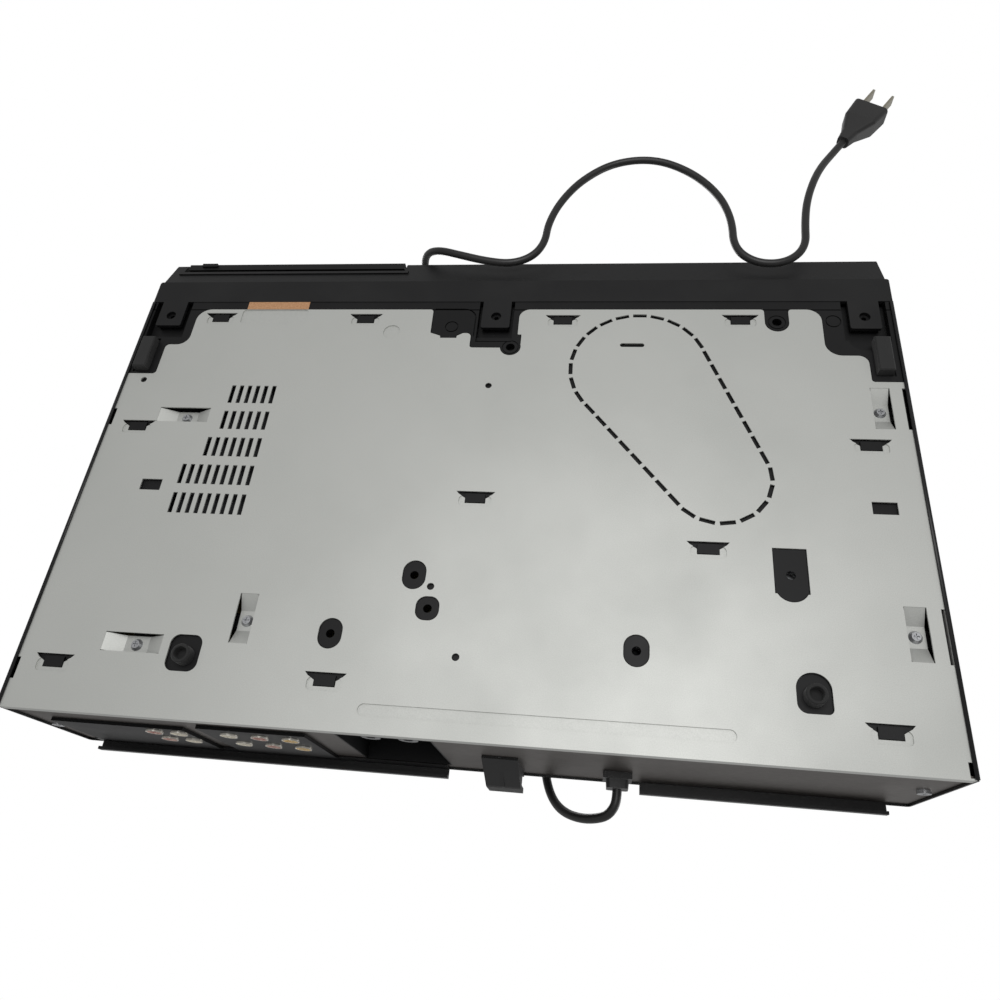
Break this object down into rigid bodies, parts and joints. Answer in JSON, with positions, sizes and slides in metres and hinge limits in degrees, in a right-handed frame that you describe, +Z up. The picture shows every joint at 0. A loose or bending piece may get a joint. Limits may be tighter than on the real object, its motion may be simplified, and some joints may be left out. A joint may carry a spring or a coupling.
{
  "type": "dvd vcr combo player",
  "caption": "Disc and tape player: a motor tray for discs on the left, a front-loading cassette deck on the right, in one steel case with a mains lead.",
  "frame": {"origin": "centre of the footprint of the case, on the surface it stands on; the mains lead and its plug are not counted", "axes": "+Z up; the front faces -Y; +X is to the right seen from the front"},
  "size_m": [0.4531, 0.4477, 0.0953],
  "materials": {
    "zinc_sheet": "galvanised sheet steel, dull",
    "black_paint": "black painted sheet, satin",
    "black_plastic": "moulded black, fine grain",
    "foot_rubber": "dull black rubber",
    "rear_steel": "bare sheet steel",
    "jack_plastic": "moulded black",
    "jack_nickel": "nickel-plated",
    "yellow_plastic": "glossy moulding",
    "red_plastic": "glossy moulding",
    "white_plastic": "glossy moulding",
    "aerial_metal": "plated casting",
    "relief_plastic": "moulded black",
    "hook_plastic": "moulded black",
    "front_plastic": "moulded black, fine grain",
    "smoked_glass": "smoked clear plastic",
    "door_plastic": "moulded black, fine grain",
    "flap_plastic": "moulded black, fine grain",
    "button_plastic": "satin silver-grey",
    "board_laminate": "bare circuit laminate",
    "tray_plastic": "moulded black, fine grain",
    "gear_plastic": "natural moulding",
    "inner_plastic": "moulded dark grey",
    "deck_steel": "plated sheet steel",
    "shaft_steel": "ground steel",
    "pickup_cast": "die-cast, dull",
    "motor_steel": "plated cans",
    "drum_alloy": "turned and polished",
    "belt_rubber": "dull black rubber",
    "reel_plastic": "natural moulding",
    "transformer_tape": "yellow tape over ferrite",
    "copper_foil": "tarnished copper foil",
    "screw_steel": "zinc-plated",
    "cord_rubber": "flat black-brown cord",
    "plug_rubber": "moulded black",
    "blade_brass": "plated brass"
  },
  "bodies": {
    "case": {"bottom_plate": "zinc_sheet", "main_frame": "black_plastic", "rear_feet": "foot_rubber", "front_pads": "foot_rubber", "top_cover": "black_paint", "rear_panel": "rear_steel", "jack_blocks": "jack_plastic", "jack_shells": "jack_nickel", "yellow_inserts": "yellow_plastic", "red_inserts": "red_plastic", "white_inserts": "white_plastic", "aerial_block": "aerial_metal", "strain_relief": "relief_plastic", "cord_hook": "hook_plastic", "front_panel": "front_plastic", "display_window": "smoked_glass", "front_board": "board_laminate", "dvd_frame": "inner_plastic", "traverse_deck": "deck_steel", "motor_bodies": "motor_steel", "clamp_bridge": "deck_steel", "deck_chassis": "deck_steel", "drum_base": "drum_alloy", "reel_belt": "belt_rubber", "main_board": "board_laminate", "power_board": "board_laminate", "transformer": "transformer_tape", "ground_foil": "copper_foil", "pocket_screws": "screw_steel", "cover_screws": "screw_steel", "power_cord": "cord_rubber", "plug_body": "plug_rubber", "plug_blades": "blade_brass"},
    "tray": {"disc_tray": "tray_plastic", "tray_door": "door_plastic"},
    "tray_gear_body": {"tray_gear": "gear_plastic"},
    "motor_pinion_body": {"motor_pinion": "gear_plastic"},
    "lead_screw_body": {"lead_screw": "shaft_steel"},
    "pickup_body": {"pickup": "pickup_cast"},
    "turntable_body": {"turntable": "inner_plastic"},
    "disc_clamper_body": {"disc_clamper": "gear_plastic"},
    "drum_rotor_body": {"drum_rotor": "drum_alloy"},
    "capstan_body": {"capstan": "shaft_steel"},
    "clutch_pulley_body": {"clutch_pulley": "inner_plastic"},
    "supply_reel_body": {"supply_reel": "reel_plastic"},
    "takeup_reel_body": {"takeup_reel": "reel_plastic"},
    "pinch_arm_body": {"pinch_arm": "deck_steel"},
    "pinch_roller_body": {"pinch_roller": "belt_rubber"},
    "cam_gear_body": {"cam_gear": "gear_plastic"},
    "cassette_holder_body": {"cassette_holder": "deck_steel"},
    "lift_frame_body": {"lift_frame": "deck_steel"},
    "cassette_door_body": {"cassette_door": "flap_plastic"},
    "power_button_body": {"power_button": "button_plastic"},
    "open_button_body": {"open_button": "button_plastic"},
    "play_button_body": {"play_button": "button_plastic"},
    "stop_button_body": {"stop_button": "button_plastic"},
    "eject_button_body": {"eject_button": "button_plastic"},
    "rewind_button_body": {"rewind_button": "button_plastic"},
    "forward_button_body": {"forward_button": "button_plastic"},
    "record_button_body": {"record_button": "button_plastic"}
  },
  "joints": [
    {"name": "tray_slide", "type": "slide", "parent": "case", "child": "tray", "axis": [0, -1, 0], "range_m": [0, 0.14]},
    {"name": "tray_gear_spin", "type": "hinge", "parent": "case", "child": "tray_gear_body", "pos_m": [-0.17915, -0.115, 0], "axis": [0, 0, 1], "range_deg": [0, 670.5]},
    {"name": "motor_pinion_spin", "type": "hinge", "parent": "case", "child": "motor_pinion_body", "pos_m": [-0.156, -0.115, 0], "axis": [0, 0, 1], "range_deg": [-1898.9, 0]},
    {"name": "pickup_slide", "type": "slide", "parent": "case", "child": "pickup_body", "axis": [0, 1, 0], "range_m": [0, 0.034]},
    {"name": "lead_screw_spin", "type": "hinge", "parent": "case", "child": "lead_screw_body", "pos_m": [-0.103, -0.02, 0.0214], "axis": [0, 1, 0], "range_deg": [0, 4100]},
    {"name": "turntable_spin", "type": "hinge", "parent": "case", "child": "turntable_body", "pos_m": [-0.134, -0.065, 0.018], "axis": [0, 0, 1], "continuous": true},
    {"name": "disc_clamper_spin", "type": "hinge", "parent": "case", "child": "disc_clamper_body", "pos_m": [-0.134, -0.065, 0.037], "axis": [0, 0, 1], "continuous": true},
    {"name": "cassette_door_hinge", "type": "hinge", "parent": "case", "child": "cassette_door_body", "pos_m": [0.108, -0.142, 0.0756], "axis": [1, 0, 0], "range_deg": [0, 78], "stiffness_Nm_per_rad": 0.01, "springref_deg": -11.46},
    {"name": "power_press", "type": "slide", "parent": "case", "child": "power_button_body", "axis": [0, 1, 0], "range_m": [0, 0.0008], "stiffness_N_per_m": 400},
    {"name": "open_press", "type": "slide", "parent": "case", "child": "open_button_body", "axis": [0, 1, 0], "range_m": [0, 0.0008], "stiffness_N_per_m": 400},
    {"name": "play_press", "type": "slide", "parent": "case", "child": "play_button_body", "axis": [0, 1, 0], "range_m": [0, 0.0008], "stiffness_N_per_m": 400},
    {"name": "stop_press", "type": "slide", "parent": "case", "child": "stop_button_body", "axis": [0, 1, 0], "range_m": [0, 0.0008], "stiffness_N_per_m": 400},
    {"name": "eject_press", "type": "slide", "parent": "case", "child": "eject_button_body", "axis": [0, 1, 0], "range_m": [0, 0.0008], "stiffness_N_per_m": 400},
    {"name": "rewind_press", "type": "slide", "parent": "case", "child": "rewind_button_body", "axis": [0, 1, 0], "range_m": [0, 0.0008], "stiffness_N_per_m": 400},
    {"name": "forward_press", "type": "slide", "parent": "case", "child": "forward_button_body", "axis": [0, 1, 0], "range_m": [0, 0.0008], "stiffness_N_per_m": 400},
    {"name": "record_press", "type": "slide", "parent": "case", "child": "record_button_body", "axis": [0, 1, 0], "range_m": [0, 0.0008], "stiffness_N_per_m": 400},
    {"name": "drum_spin", "type": "hinge", "parent": "case", "child": "drum_rotor_body", "pos_m": [0.1, 0.055, 0.0252], "axis": [0, -0.0872, 0.9962], "continuous": true},
    {"name": "capstan_spin", "type": "hinge", "parent": "case", "child": "capstan_body", "pos_m": [0.15, 0.035, 0.012], "axis": [0, 0, 1], "continuous": true},
    {"name": "clutch_spin", "type": "hinge", "parent": "case", "child": "clutch_pulley_body", "pos_m": [0.08, -0.062, 0.016], "axis": [0, 0, 1], "continuous": true},
    {"name": "supply_reel_spin", "type": "hinge", "parent": "case", "child": "supply_reel_body", "pos_m": [0.062, -0.031, 0.026], "axis": [0, 0, 1], "continuous": true},
    {"name": "takeup_reel_spin", "type": "hinge", "parent": "case", "child": "takeup_reel_body", "pos_m": [0.154, -0.031, 0.026], "axis": [0, 0, 1], "continuous": true},
    {"name": "pinch_arm_swing", "type": "hinge", "parent": "case", "child": "pinch_arm_body", "pos_m": [0.172, 0.047, 0.027], "axis": [0, 0, 1], "range_deg": [0, 21]},
    {"name": "pinch_roller_spin", "type": "hinge", "parent": "pinch_arm_body", "child": "pinch_roller_body", "pos_m": [0.15227, 0.0503, 0.04], "axis": [0, 0, 1], "continuous": true},
    {"name": "basket_lift", "type": "slide", "parent": "case", "child": "lift_frame_body", "axis": [0, 0, -1], "range_m": [0, 0.017]},
    {"name": "basket_slide", "type": "slide", "parent": "lift_frame_body", "child": "cassette_holder_body", "axis": [0, 1, 0], "range_m": [0, 0.038]},
    {"name": "cam_gear_turn", "type": "hinge", "parent": "case", "child": "cam_gear_body", "pos_m": [0.034, 0.037, 0.024], "axis": [0, 0, 1], "range_deg": [0, 152]}
  ],
  "couplings": [
    {"joint": "tray_gear_spin", "follows": "tray_slide", "rad_per_m": 83.333},
    {"joint": "motor_pinion_spin", "follows": "tray_slide", "rad_per_m": -236.11},
    {"joint": "lead_screw_spin", "follows": "pickup_slide", "rad_per_m": 2094.4},
    {"joint": "disc_clamper_spin", "follows": "turntable_spin", "ratio": 1},
    {"joint": "clutch_spin", "follows": "capstan_spin", "ratio": 0.66667},
    {"joint": "cam_gear_turn", "follows": "basket_lift", "rad_per_m": 154}
  ]
}
